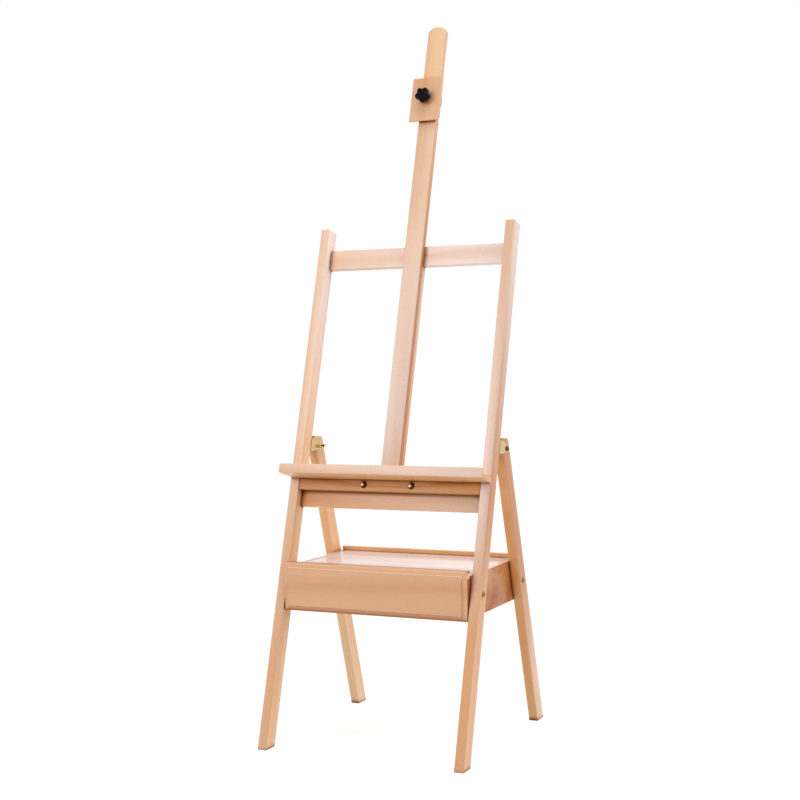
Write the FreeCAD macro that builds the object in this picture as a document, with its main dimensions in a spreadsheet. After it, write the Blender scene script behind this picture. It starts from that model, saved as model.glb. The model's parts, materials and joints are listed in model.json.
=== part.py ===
import FreeCAD, Part
import os
import Sketcher

# Wooden artist easel with a drawer box, in millimetres.
# X is to the right seen from the front, Y goes to the back, Z is up.
# The leaning front frame is drawn upright: X across, Y into its depth, Z up its length.
# Every piece of it shares one leaning Placement, so depths and heights below are along the frame.

doc = FreeCAD.newDocument("WoodenEasel")
sheet = doc.addObject("Spreadsheet::Sheet", "Sizes")

sizes = [
    ("lean_angle", 16.6),
    ("leg_angle", 17.1),
    ("frame_width", 522),
    ("stile_width", 23),
    ("stile_depth", 38),
    ("stile_length", 1292),
    ("rear_layer", 22),
    ("slide_gap", 0.5),
    ("crossbar_bottom", 1192.4),
    ("crossbar_height", 48.8),
    ("rail_bottom", 584.5),
    ("rail_height", 46),
    ("post_width", 45),
    ("tenon_thick", 8),
    ("tenon_length", 12),
    ("tenon_shoulder", 5),
    ("mast_width", 47.5),
    ("mast_thick", 17.5),
    ("mast_top", 1829),
    ("mast_arch", 11),
    ("slot_neck", 7),
    ("slot_wide", 17),
    ("slot_layer", 5),
    ("ledge_travel", 300),
    ("mast_travel", 180),
    ("ledge_bottom", 650),
    ("ledge_floor_thick", 12),
    ("ledge_reach", 63.5),
    ("ledge_overhang", 1.5),
    ("lip_thick", 11),
    ("lip_height", 23),
    ("apron_bottom", 623),
    ("apron_thick", 20),
    ("apron_gap", 1.5),
    ("ledge_bolt_half", 62.5),
    ("ledge_bolt_height", 637.5),
    ("clamp_bar_half", 85),
    ("clamp_bar_height", 24),
    ("clamp_bar_thick", 16),
    ("block_width", 77),
    ("block_shift", 5.5),
    ("block_height", 116),
    ("block_bottom", 1566),
    ("knob_rise", 3),
    ("block_thick", 14),
    ("notch_height", 12),
    ("notch_depth", 9),
    ("strap_height", 24),
    ("strap_thick", 1.5),
    ("strap_flange", 7),
    ("strap_screw", 10),
    ("knob_core", 13.5),
    ("knob_lobe", 6.8),
    ("knob_lobe_at", 11.3),
    ("knob_thick", 15),
    ("knob_neck", 8),
    ("knob_neck_length", 7),
    ("stud_radius", 3.95),
    ("stud_hole", 4),
    ("bolt_radius", 2.95),
    ("bolt_hole", 3),
    ("case_head", 6.5),
    ("ledge_head", 8.2),
    ("head_height", 4.4),
    ("washer_radius", 8.5),
    ("washer_thick", 1.5),
    ("nut_hub", 5.6),
    ("nut_length", 7),
    ("wing_radius", 6),
    ("wing_reach", 9),
    ("wing_thick", 2.6),
    ("leg_width", 22),
    ("leg_depth", 40),
    ("leg_top_drop", 8),
    ("hinge_height", 771),
    ("hinge_gap", 2.6),
    ("leg_top_round", 11),
    ("bracket_thick", 1.6),
    ("bracket_above", 12),
    ("bracket_below", 24),
    ("ear_gap", 0.3),
    ("ear_radius", 9.5),
    ("screw_head", 2.9),
    ("screw_shank", 1.5),
    ("screw_hole", 1.55),
    ("screw_length", 14),
    ("front_bolt_height", 396),
    ("front_bolt_depth", 19),
    ("rear_bolt_drop", 384),
    ("cross_bolt_drop", 42),
    ("case_gap", 0.5),
    ("case_bottom", 319),
    ("case_height", 98.5),
    ("case_front", 117),
    ("case_side_thick", 12),
    ("case_top_thick", 10),
    ("case_bottom_thick", 6),
    ("case_back_thick", 12),
    ("gallery_height", 11),
    ("gallery_thick", 12),
    ("runner_height", 12),
    ("runner_proud", 6),
    ("runner_setback", 20),
    ("front_clearance", 2.5),
    ("drawer_front_height", 115),
    ("drawer_front_bottom", 314.5),
    ("drawer_front_thick", 24),
    ("bevel_width", 10.5),
    ("bevel_depth", 7),
    ("field_inset", 11.5),
    ("field_rise", 3),
    ("drawer_gap", 1),
    ("drawer_wall", 12),
    ("drawer_side_height", 68),
    ("drawer_depth", 275),
    ("drawer_rear_gap", 12),
    ("drawer_floor_thick", 4),
    ("drawer_floor_lift", 7),
    ("floor_groove", 5),
]
for row, (alias, value) in enumerate(sizes, start=1):
    sheet.set("A%d" % row, alias)
    sheet.set("B%d" % row, str(value))
    sheet.setAlias("B%d" % row, alias)
doc.recompute()

# Lengths worked out from the sheet, as expressions that follow it.
half_width = "(Sizes.frame_width / 2)"
stile_in = "(Sizes.frame_width / 2 - Sizes.stile_width)"
stile_back = "Sizes.stile_depth"
layer = "Sizes.rear_layer"
mast_back = "(Sizes.rear_layer - Sizes.slide_gap)"
mast_front = "(Sizes.rear_layer - Sizes.slide_gap - Sizes.mast_thick)"
rail_top = "(Sizes.rail_bottom + Sizes.rail_height)"
crossbar_top = "(Sizes.crossbar_bottom + Sizes.crossbar_height)"
lock_height = "(Sizes.crossbar_bottom + Sizes.crossbar_height / 2)"
ledge_top = "(Sizes.ledge_bottom + Sizes.ledge_floor_thick)"
apron_back = "(Sizes.rear_layer - Sizes.slide_gap)"
apron_front = "(Sizes.rear_layer - Sizes.slide_gap - Sizes.apron_thick)"
tenon_front = "(Sizes.rear_layer + Sizes.stile_depth - Sizes.tenon_thick) / 2"
tenon_rear = "(Sizes.rear_layer + Sizes.stile_depth + Sizes.tenon_thick) / 2"
slot_low = "(%s - Sizes.ledge_travel - Sizes.mast_travel - Sizes.slot_wide / 2)" % lock_height
slot_high = "(%s + Sizes.slot_wide / 2 + 1)" % lock_height
slot_floor = "(%s - 2 * Sizes.slot_layer)" % mast_back
slot_step = "(%s - Sizes.slot_layer)" % mast_back
bar_front = "(Sizes.stile_depth + 0.3)"
bar_back = "(Sizes.stile_depth + 0.3 + Sizes.clamp_bar_thick)"
block_back = "(%s - 0.2)" % mast_front
block_front = "(%s - 0.2 - Sizes.block_thick)" % mast_front
block_mid = "(Sizes.block_bottom + Sizes.block_height / 2 + Sizes.knob_rise)"
knob_x = "(-Sizes.block_shift)"
leg_in = stile_in
leg_out = "(%s + Sizes.leg_width)" % stile_in
leg_front = "Sizes.hinge_gap"
leg_back = "(Sizes.hinge_gap + Sizes.leg_depth)"
hinge_depth = "(Sizes.stile_depth + Sizes.hinge_gap)"
hinge_y = "(Sizes.hinge_height * sin(Sizes.lean_angle) + %s * cos(Sizes.lean_angle))" % hinge_depth
hinge_z = "(Sizes.hinge_height * cos(Sizes.lean_angle) - %s * sin(Sizes.lean_angle))" % hinge_depth
foot_drop = "((%s + %s * sin(Sizes.leg_angle)) / cos(Sizes.leg_angle))"
foot_front = foot_drop % (hinge_z, leg_front)
foot_rear = foot_drop % (hinge_z, leg_back)
foot_reach = "%s + %s * sin(Sizes.leg_angle) + %s * cos(Sizes.leg_angle)" % (hinge_y, foot_rear, leg_back)
mast_reach = "Sizes.mast_top * sin(Sizes.lean_angle) + %s * cos(Sizes.lean_angle)" % mast_back
base_shift = "(max(%s; %s) / 2)" % (foot_reach, mast_reach)
ear_in = "(%s - Sizes.ear_gap)" % leg_in
ear_out = "(%s + Sizes.ear_gap)" % leg_out
bracket_in = "(%s - Sizes.bracket_thick)" % ear_in
bracket_out = "(%s + Sizes.bracket_thick)" % ear_out
screw_x = "(%s + Sizes.leg_width / 2)" % stile_in
case_out = "(%s - Sizes.case_gap)" % stile_in
case_in = "(%s - Sizes.case_gap - Sizes.case_side_thick)" % stile_in
case_top = "(Sizes.case_bottom + Sizes.case_height)"
floor_top = "(Sizes.case_bottom + 4 + Sizes.case_bottom_thick)"
front_bolt_y = (
    "(Sizes.front_bolt_height * sin(Sizes.lean_angle)"
    " + Sizes.front_bolt_depth * cos(Sizes.lean_angle))"
)
front_bolt_z = (
    "(Sizes.front_bolt_height * cos(Sizes.lean_angle)"
    " - Sizes.front_bolt_depth * sin(Sizes.lean_angle))"
)
leg_mid = "(Sizes.hinge_gap + Sizes.leg_depth / 2)"
open_angle = "(Sizes.lean_angle + Sizes.leg_angle)"
pivot_run = "(%s * cos(%s) + Sizes.cross_bolt_drop * sin(%s))" % (leg_mid, open_angle, open_angle)
pivot_fall = "(Sizes.cross_bolt_drop * cos(%s) - %s * sin(%s))" % (open_angle, leg_mid, open_angle)
pivot_depth = "(%s + %s)" % (hinge_depth, pivot_run)
pivot_height = "(Sizes.hinge_height - %s)" % pivot_fall
face_back = "(Sizes.case_front - Sizes.drawer_gap)"
face_front = "(Sizes.case_front - Sizes.drawer_gap - Sizes.drawer_front_thick)"
drawer_out = "(%s - Sizes.drawer_gap)" % case_in
drawer_in = "(%s - Sizes.drawer_gap - Sizes.drawer_wall)" % case_in
drawer_low = "(%s + 3)" % floor_top
drawer_high = "(%s + 3 + Sizes.drawer_side_height)" % floor_top
drawer_back = "(%s + Sizes.drawer_depth)" % face_back
case_inner_back = "(%s + Sizes.drawer_rear_gap)" % drawer_back
case_back = "(%s + Sizes.case_back_thick)" % case_inner_back
panel_low = "(%s + Sizes.drawer_floor_lift)" % drawer_low
panel_high = "(%s + Sizes.drawer_floor_lift + Sizes.drawer_floor_thick)" % drawer_low
runner_low = "(%s + Sizes.drawer_side_height / 2 - Sizes.runner_height / 2)" % drawer_low
runner_high = "(%s + Sizes.drawer_side_height / 2 + Sizes.runner_height / 2)" % drawer_low

sides = [(-1, "left"), (1, "right")]
finished = []


def number(expression):
    # The value of an expression now, used only to draw a sketch near its final size.
    return float(sheet.evalExpression(expression))


def minus(expression):
    return "-(%s)" % expression


def between(side, near, far):
    # The low and high X of a span given outwards from the middle plane.
    if side > 0:
        return near, far
    return minus(far), minus(near)


def settle(thing, home):
    # Put a finished sub-part in the leaning frame, on the rear legs' hinge line or level on the floor.
    thing.Placement = FreeCAD.Placement()
    if home == "frame":
        thing.Placement.Rotation = FreeCAD.Rotation(FreeCAD.Vector(-1, 0, 0), 1)
        thing.setExpression("Placement.Rotation.Angle", "Sizes.lean_angle")
        thing.setExpression("Placement.Base.y", minus(base_shift))
    if home == "leg":
        thing.Placement.Rotation = FreeCAD.Rotation(FreeCAD.Vector(1, 0, 0), 1)
        thing.setExpression("Placement.Rotation.Angle", "Sizes.leg_angle")
        thing.setExpression("Placement.Base.y", "%s - %s" % (hinge_y, base_shift))
        thing.setExpression("Placement.Base.z", hinge_z)
    if home == "level":
        thing.setExpression("Placement.Base.y", minus(base_shift))
    finished.append(thing)


def newBody(label, home):
    body = doc.addObject("PartDesign::Body", label)
    body.Label = label
    settle(body, home)
    return body


def newSketch(body, role, shift):
    # A sketch on one of the body's own origin planes, moved by three expressions.
    sketch = body.newObject("Sketcher::SketchObject", body.Label + "_sketch")
    planes = [plane for plane in body.Origin.OriginFeatures if plane.Role == role]
    sketch.AttachmentSupport = [(planes[0], "")]
    sketch.MapMode = "FlatFace"
    for letter, expression in zip("xyz", shift):
        if expression != "0":
            sketch.setExpression("AttachmentOffset.Base." + letter, expression)
    return sketch


def pin(sketch, index, point, across, up):
    # Hold one sketch point at two expressions measured from the sketch's origin.
    for kind, expression in (("DistanceX", across), ("DistanceY", up)):
        value = number(expression)
        held = sketch.addConstraint(Sketcher.Constraint(kind, -1, 1, index, point, value))
        sketch.setExpression("Constraints[%d]" % held, expression)


def outline(sketch, corners, arc=None):
    # A closed outline. arc is (corner it starts at, expression of its centre's height).
    points = [FreeCAD.Vector(number(across), number(up), 0) for across, up in corners]
    count = len(points)
    for index in range(count):
        start = points[index]
        end = points[(index + 1) % count]
        if arc and arc[0] == index:
            middle = number(arc[1])
            run = end.x - start.x
            if abs(start.y + end.y - 2 * middle) < 1e-9 or abs(run) < 1e-9:
                across = start.x
            else:
                across = (start.x + end.x) / 2 + (end.y - start.y) * ((start.y + end.y) / 2 - middle) / run
            centre = FreeCAD.Vector(across, middle, 0)
            circle = Part.Circle(centre, FreeCAD.Vector(0, 0, 1), (start - centre).Length)
            first = circle.parameter(start)
            last = circle.parameter(end)
            sketch.addGeometry(Part.ArcOfCircle(circle, first, last), False)
        else:
            sketch.addGeometry(Part.LineSegment(start, end), False)
    for index in range(count):
        sketch.addConstraint(Sketcher.Constraint("Coincident", index, 2, (index + 1) % count, 1))
    for index in range(count):
        pin(sketch, index, 1, corners[index][0], corners[index][1])
    if arc:
        value = number(arc[1])
        held = sketch.addConstraint(Sketcher.Constraint("DistanceY", -1, 1, arc[0], 3, value))
        sketch.setExpression("Constraints[%d]" % held, arc[1])


def ring(sketch, across, up, radius):
    # A circle held by its centre and radius.
    centre = FreeCAD.Vector(number(across), number(up), 0)
    circle = Part.Circle(centre, FreeCAD.Vector(0, 0, 1), number(radius))
    index = sketch.addGeometry(circle, False)
    pin(sketch, index, 3, across, up)
    held = sketch.addConstraint(Sketcher.Constraint("Radius", index, number(radius)))
    sketch.setExpression("Constraints[%d]" % held, radius)


def rectangle(low, high, bottom, top):
    return [(low, bottom), (high, bottom), (high, top), (low, top)]


def drawn(body, axis, low, high, cutting, shape):
    # The sketch for a pad or pocket that fills from low to high along one local axis.
    if axis == "X":
        sketch = newSketch(body, "YZ_Plane", ("0", "0", high if cutting else low))
    elif axis == "Y":
        sketch = newSketch(body, "XZ_Plane", ("0", "0", minus(low) if cutting else minus(high)))
    else:
        sketch = newSketch(body, "XY_Plane", ("0", "0", high if cutting else low))
    if "rings" in shape:
        for across, up, radius in shape["rings"]:
            ring(sketch, across, up, radius)
    else:
        outline(sketch, shape["corners"], shape.get("arc"))
    return sketch


def add(body, axis, low, high, taper=None, **shape):
    sketch = drawn(body, axis, low, high, False, shape)
    pad = body.newObject("PartDesign::Pad", body.Label + "_pad")
    pad.Profile = sketch
    pad.setExpression("Length", "%s - (%s)" % (high, low))
    if taper:
        pad.setExpression("TaperAngle", taper)
    sketch.Visibility = False
    return pad


def cut(body, axis, low, high, **shape):
    sketch = drawn(body, axis, low, high, True, shape)
    pocket = body.newObject("PartDesign::Pocket", body.Label + "_pocket")
    pocket.Profile = sketch
    pocket.setExpression("Length", "%s - (%s)" % (high, low))
    sketch.Visibility = False
    return pocket


def turn(body, axis, across, depth, height, profile, arc=None):
    # A turned shape about a line along X or along Y through the given point.
    if axis == "X":
        sketch = newSketch(body, "XZ_Plane", ("0", height, minus(depth)))
    else:
        sketch = newSketch(body, "YZ_Plane", ("0", height, across))
    outline(sketch, profile, arc)
    revolution = body.newObject("PartDesign::Revolution", body.Label + "_turned")
    revolution.Profile = sketch
    revolution.ReferenceAxis = (sketch, ["H_Axis"])
    revolution.Angle = 360
    sketch.Visibility = False
    return revolution


def domeBolt(label, home, axis, across, depth, height, tip, seat, outward, head):
    # A round-headed bolt: the shank runs from tip to seat and the domed head stands outward.
    body = newBody(label, home)
    top = "(%s + %d * Sizes.head_height)" % (seat, outward)
    shank = "Sizes.bolt_radius"
    profile = [(tip, "0"), (tip, shank), (seat, shank), (seat, head), (top, "0")]
    dome = (3, "0")
    if outward > 0:
        profile = [(tip, "0"), (top, "0"), (seat, head), (seat, shank), (tip, shank)]
        dome = (1, "0")
    turn(body, axis, across, depth, height, profile, dome)
    return body


def wingNut(label, home, axis, across, depth, height, seat, outward):
    # A wing nut that screws onto a bolt and rests at seat, its two wings standing outward.
    body = newBody(label, home)
    tip = "(%s + %d * Sizes.nut_length)" % (seat, outward)
    waist = "(Sizes.nut_hub * 0.8)"
    profile = [(seat, "0"), (tip, "0"), (tip, waist), (seat, "Sizes.nut_hub")]
    if outward < 0:
        profile = [(tip, "0"), (seat, "0"), (seat, "Sizes.nut_hub"), (tip, waist)]
    turn(body, axis, across, depth, height, profile)
    wing_out = "(%s + %d * (Sizes.nut_length + 1))" % (seat, outward)
    rings = []
    for way in (-1, 1):
        if axis == "X":
            rings.append((wing_out, "%s + %d * Sizes.wing_reach" % (depth, way), "Sizes.wing_radius"))
        else:
            rings.append(("%s + %d * Sizes.wing_reach" % (across, way), wing_out, "Sizes.wing_radius"))
    low = "%s - Sizes.wing_thick / 2" % height
    high = "%s + Sizes.wing_thick / 2" % height
    add(body, "Z", low, high, rings=rings)
    near = "%s - 8 * Sizes.nut_length" % seat
    far = "%s + 8 * Sizes.nut_length" % seat
    if axis == "X":
        cut(body, "X", near, far, rings=[(depth, height, "Sizes.bolt_hole")])
    else:
        cut(body, "Y", near, far, rings=[(across, height, "Sizes.bolt_hole")])
    return body


def washer(label, home, across, height, seat):
    body = newBody(label, home)
    add(body, "Y", seat, "%s + Sizes.washer_thick" % seat, rings=[(across, height, "Sizes.washer_radius")])
    cut(body, "Y", "%s - 1" % seat, "%s + Sizes.washer_thick + 1" % seat,
        rings=[(across, height, "Sizes.bolt_hole")])
    return body


def screws(label, home, face, inward, heights):
    # Two round-headed screws driven along local Y through a bracket's base into the wood behind it.
    side = -1 if label.startswith("left") else 1
    pieces = []
    for place in heights:
        for radius, start, length in (
            ("Sizes.screw_head", face, "1"),
            ("Sizes.screw_shank", face, "Sizes.screw_length"),
        ):
            rod = doc.addObject("Part::Cylinder", label + "_rod")
            toward = -inward if radius == "Sizes.screw_head" else inward
            rod.Placement.Rotation = FreeCAD.Rotation(FreeCAD.Vector(1, 0, 0), -90 * toward)
            rod.setExpression("Radius", radius)
            rod.setExpression("Height", length)
            rod.setExpression("Placement.Base.x", "%d * %s" % (side, screw_x))
            rod.setExpression("Placement.Base.y", start)
            rod.setExpression("Placement.Base.z", place)
            pieces.append(rod)
    fused = doc.addObject("Part::MultiFuse", label)
    fused.Shapes = pieces
    fused.Label = label
    settle(fused, home)
    return fused


# The leaning frame: two stiles, a crossbar, a lower rail and the fixed centre post.
screw_heights = ["%s + 5" % pivot_height, "%s - 17" % pivot_height]
for side, name in sides:
    body = newBody(name + "_stile", "frame")
    low, high = between(side, stile_in, half_width)
    foot = "(Sizes.stile_depth * tan(Sizes.lean_angle))"
    corners = [
        ("0", "0"),
        (stile_back, foot),
        (stile_back, "Sizes.stile_length"),
        ("0", "Sizes.stile_length"),
    ]
    add(body, "X", low, high, corners=corners)
    tenon_low, tenon_high = between(side, "0", "%s + Sizes.tenon_length" % stile_in)
    for bottom, top in (("Sizes.crossbar_bottom", crossbar_top), ("Sizes.rail_bottom", rail_top)):
        mortise = rectangle(
            tenon_front,
            tenon_rear,
            "%s + Sizes.tenon_shoulder" % bottom,
            "%s - Sizes.tenon_shoulder" % top,
        )
        cut(body, "X", tenon_low, tenon_high, corners=mortise)
    bore = [("Sizes.front_bolt_depth", "Sizes.front_bolt_height", "Sizes.bolt_hole")]
    cut(body, "X", "%s - 1" % low, "%s + 1" % high, rings=bore)
    pilots = [("%d * %s" % (side, screw_x), place, "Sizes.screw_hole") for place in screw_heights]
    pilot_start = "(Sizes.stile_depth + Sizes.bracket_thick - Sizes.screw_length - 1)"
    cut(body, "Y", pilot_start, "Sizes.stile_depth + 1", rings=pilots)

for label, bottom, top in (
    ("upper_crossbar", "Sizes.crossbar_bottom", crossbar_top),
    ("lower_rail", "Sizes.rail_bottom", rail_top),
):
    body = newBody(label, "frame")
    add(body, "Y", layer, stile_back, corners=rectangle(minus(stile_in), stile_in, bottom, top))
    tongue = rectangle(
        "-%s - Sizes.tenon_length + 0.5" % stile_in,
        "%s + Sizes.tenon_length - 0.5" % stile_in,
        "%s + Sizes.tenon_shoulder" % bottom,
        "%s - Sizes.tenon_shoulder" % top,
    )
    add(body, "Y", tenon_front, tenon_rear, corners=tongue)
    post_mortise = rectangle(
        "-Sizes.post_width / 2 + Sizes.tenon_shoulder",
        "Sizes.post_width / 2 - Sizes.tenon_shoulder",
        "%s - Sizes.tenon_length" % top if label == "lower_rail" else "%s - 1" % bottom,
        "%s + 1" % top if label == "lower_rail" else "%s + Sizes.tenon_length" % bottom,
    )
    cut(body, "Y", tenon_front, tenon_rear, corners=post_mortise)
    if label == "upper_crossbar":
        lock_bore = [("0", lock_height, "Sizes.bolt_hole")]
        cut(body, "Y", "%s - 1" % layer, "%s + 1" % stile_back, rings=lock_bore)

body = newBody("center_post", "frame")
post_outline = rectangle("-Sizes.post_width / 2", "Sizes.post_width / 2", rail_top, "Sizes.crossbar_bottom")
add(body, "Y", layer, stile_back, corners=post_outline)
post_tongue = rectangle(
    "-Sizes.post_width / 2 + Sizes.tenon_shoulder",
    "Sizes.post_width / 2 - Sizes.tenon_shoulder",
    "%s - Sizes.tenon_length + 0.5" % rail_top,
    "Sizes.crossbar_bottom + Sizes.tenon_length - 0.5",
)
add(body, "Y", tenon_front, tenon_rear, corners=post_tongue)

# The sliding mast, with a T-slot up its back that holds the locking bolt's head.
body = newBody("sliding_mast", "frame")
shoulder = "(Sizes.mast_top - Sizes.mast_arch)"
arch_radius = (
    "((Sizes.mast_width * Sizes.mast_width / 4 + Sizes.mast_arch * Sizes.mast_arch)"
    " / (2 * Sizes.mast_arch))"
)
mast_half = "Sizes.mast_width / 2"
mast_outline = [
    (minus(mast_half), "%s + 0.2" % ledge_top),
    (mast_half, "%s + 0.2" % ledge_top),
    (mast_half, shoulder),
    (minus(mast_half), shoulder),
]
add(body, "Y", mast_front, mast_back, corners=mast_outline, arc=(2, "Sizes.mast_top - %s" % arch_radius))
neck = rectangle("-Sizes.slot_neck / 2", "Sizes.slot_neck / 2", slot_low, slot_high)
cut(body, "Y", slot_floor, "%s + 1" % mast_back, corners=neck)
wide = rectangle("-Sizes.slot_wide / 2", "Sizes.slot_wide / 2", slot_low, slot_high)
cut(body, "Y", slot_floor, slot_step, corners=wide)

# The locking bolt: a square head in the slot, its shank through the crossbar, a wing nut behind.
body = newBody("mast_bolt", "frame")
head_half = "(Sizes.slot_wide / 2 - 0.5)"
head = rectangle(
    minus(head_half),
    head_half,
    "%s - %s" % (lock_height, head_half),
    "%s + %s" % (lock_height, head_half),
)
add(body, "Y", "%s + 0.5" % slot_floor, "%s - 0.3" % slot_step, corners=head)
bolt_end = "(Sizes.stile_depth + Sizes.washer_thick + Sizes.nut_length + 6)"
add(body, "Y", "%s + 1" % slot_floor, bolt_end, rings=[("0", lock_height, "Sizes.bolt_radius")])
washer("mast_washer", "frame", "0", lock_height, stile_back)
lock_seat = "(%s + Sizes.washer_thick)" % stile_back
wingNut("mast_wing_nut", "frame", "Y", "0", stile_back, lock_height, lock_seat, 1)

# The canvas ledge: a lipped shelf in front, an apron between the stiles and a clamp bar behind the post.
body = newBody("ledge_lip", "frame")
lip_back = "(Sizes.lip_thick - Sizes.ledge_reach)"
lip_top = "Sizes.ledge_bottom + Sizes.lip_height"
ledge_half = "(Sizes.frame_width / 2 + Sizes.ledge_overhang)"
lip = rectangle(minus(ledge_half), ledge_half, "Sizes.ledge_bottom", lip_top)
add(body, "Y", "-Sizes.ledge_reach", lip_back, corners=lip)
body = newBody("ledge_floor", "frame")
shelf = rectangle(minus(ledge_half), ledge_half, "Sizes.ledge_bottom", ledge_top)
add(body, "Y", lip_back, "-0.5", corners=shelf)
tie = rectangle(
    "-%s + 20" % stile_in,
    "%s - 20" % stile_in,
    "Sizes.ledge_bottom",
    ledge_top,
)
add(body, "Y", "-1", apron_front, corners=tie)
body = newBody("ledge_apron", "frame")
apron_half = "(%s - Sizes.apron_gap)" % stile_in
board = rectangle(minus(apron_half), apron_half, "Sizes.apron_bottom", ledge_top)
add(body, "Y", apron_front, apron_back, corners=board)
ledge_across = ["-Sizes.ledge_bolt_half", "Sizes.ledge_bolt_half"]
bores = [(across, "Sizes.ledge_bolt_height", "Sizes.bolt_hole") for across in ledge_across]
cut(body, "Y", "%s - 1" % apron_front, "%s + 1" % apron_back, rings=bores)
body = newBody("ledge_clamp_bar", "frame")
bar = rectangle(
    "-Sizes.clamp_bar_half",
    "Sizes.clamp_bar_half",
    "Sizes.ledge_bolt_height - Sizes.clamp_bar_height / 2",
    "Sizes.ledge_bolt_height + Sizes.clamp_bar_height / 2",
)
add(body, "Y", bar_front, bar_back, corners=bar)
cut(body, "Y", "%s - 1" % bar_front, "%s + 1" % bar_back, rings=bores)
for side, name in sides:
    across = "%d * Sizes.ledge_bolt_half" % side
    nut_seat = "(%s + Sizes.washer_thick)" % bar_back
    tip = "(%s + Sizes.nut_length + 6)" % nut_seat
    domeBolt(name + "_ledge_bolt", "frame", "Y", across, "0", "Sizes.ledge_bolt_height",
             tip, apron_front, -1, "Sizes.ledge_head")
    washer(name + "_ledge_washer", "frame", across, "Sizes.ledge_bolt_height", bar_back)
    wingNut(name + "_ledge_wing_nut", "frame", "Y", across, bar_back, "Sizes.ledge_bolt_height", nut_seat, 1)

# The top canvas clamp: a notched block, a strap round the mast and a star knob on a stud.
body = newBody("clamp_block", "frame")
block_top = "(Sizes.block_bottom + Sizes.block_height)"
block_left = "(-Sizes.block_shift - Sizes.block_width / 2)"
block_right = "(Sizes.block_width / 2 - Sizes.block_shift)"
block = rectangle(block_left, block_right, "Sizes.block_bottom", block_top)
add(body, "Y", block_front, block_back, corners=block)
notch = rectangle(
    "%s - 1" % block_left,
    "%s + 1" % block_right,
    "Sizes.block_bottom - 1",
    "Sizes.block_bottom + Sizes.notch_height",
)
cut(body, "Y", "%s - Sizes.notch_depth" % block_back, "%s + 1" % block_back, corners=notch)
cut(body, "Y", "%s - 1" % block_front, "%s + 1" % block_back, rings=[(knob_x, block_mid, "Sizes.stud_hole")])
strap_screw_x = "(Sizes.mast_width / 2 + 0.4 + Sizes.strap_thick + Sizes.strap_flange / 2)"
strap_bores = [("%d * %s" % (side, strap_screw_x), block_mid, "Sizes.screw_hole") for side, name in sides]
cut(body, "Y", "%s - Sizes.strap_screw" % block_back, "%s + 1" % block_back, rings=strap_bores)
body = newBody("clamp_strap", "frame")
leg_inner = "(Sizes.mast_width / 2 + 0.4)"
leg_outer = "(Sizes.mast_width / 2 + 0.4 + Sizes.strap_thick)"
flange_end = "(Sizes.mast_width / 2 + 0.4 + Sizes.strap_thick + Sizes.strap_flange)"
loop_back = "(%s + 0.4)" % mast_back
loop_outer = "(%s + 0.4 + Sizes.strap_thick)" % mast_back
flange_back = "(%s + Sizes.strap_thick)" % block_back
strap_outline = [
    (minus(flange_end), block_back),
    (minus(leg_inner), block_back),
    (minus(leg_inner), loop_back),
    (leg_inner, loop_back),
    (leg_inner, block_back),
    (flange_end, block_back),
    (flange_end, flange_back),
    (leg_outer, flange_back),
    (leg_outer, loop_outer),
    (minus(leg_outer), loop_outer),
    (minus(leg_outer), flange_back),
    (minus(flange_end), flange_back),
]
strap_low = "(%s - Sizes.strap_height / 2)" % block_mid
strap_high = "(%s + Sizes.strap_height / 2)" % block_mid
add(body, "Z", strap_low, strap_high, corners=strap_outline)
cut(body, "Y", "%s - 1" % block_back, "%s + 1" % flange_back, rings=strap_bores)
for side, name in sides:
    body = newBody(name + "_strap_screw", "frame")
    screw_end = "(%s - Sizes.strap_screw + 1)" % block_back
    screw_top = "(%s + 1)" % flange_back
    screw_profile = [
        (screw_end, "0"),
        (screw_top, "0"),
        (screw_top, "Sizes.screw_head"),
        (flange_back, "Sizes.screw_head"),
        (flange_back, "Sizes.screw_shank"),
        (screw_end, "Sizes.screw_shank"),
    ]
    turn(body, "Y", "%d * %s" % (side, strap_screw_x), "0", block_mid, screw_profile)

body = newBody("star_knob", "frame")
knob_seat = "(%s - 3)" % block_front
neck_end = "(%s - Sizes.knob_neck_length)" % knob_seat
knob_end = "(%s - Sizes.knob_thick)" % neck_end
add(body, "Y", neck_end, knob_seat, rings=[(knob_x, block_mid, "Sizes.knob_neck")])
crown = [
    (knob_end, "0"),
    ("%s" % neck_end, "0"),
    ("%s" % neck_end, "Sizes.knob_core"),
    ("%s + 3" % knob_end, "Sizes.knob_core"),
    (knob_end, "Sizes.knob_core - 3"),
]
turn(body, "Y", knob_x, "0", block_mid, crown)
lobes = []
for turnCount in range(5):
    swing = 270 + 72 * turnCount
    lobes.append((
        "%s + Sizes.knob_lobe_at * cos(%d)" % (knob_x, swing),
        "%s + Sizes.knob_lobe_at * sin(%d)" % (block_mid, swing),
        "Sizes.knob_lobe",
    ))
for lobe in lobes:
    add(body, "Y", "%s + 1.5" % knob_end, neck_end, rings=[lobe])
cut(body, "Y", "%s + 5" % knob_end, "%s + 1" % knob_seat, rings=[(knob_x, block_mid, "Sizes.stud_hole")])
body = newBody("knob_stud", "frame")
stud_ring = [(knob_x, block_mid, "Sizes.stud_radius")]
add(body, "Y", "%s + 5.2" % knob_end, "%s - 0.1" % mast_front, rings=stud_ring)

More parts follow.
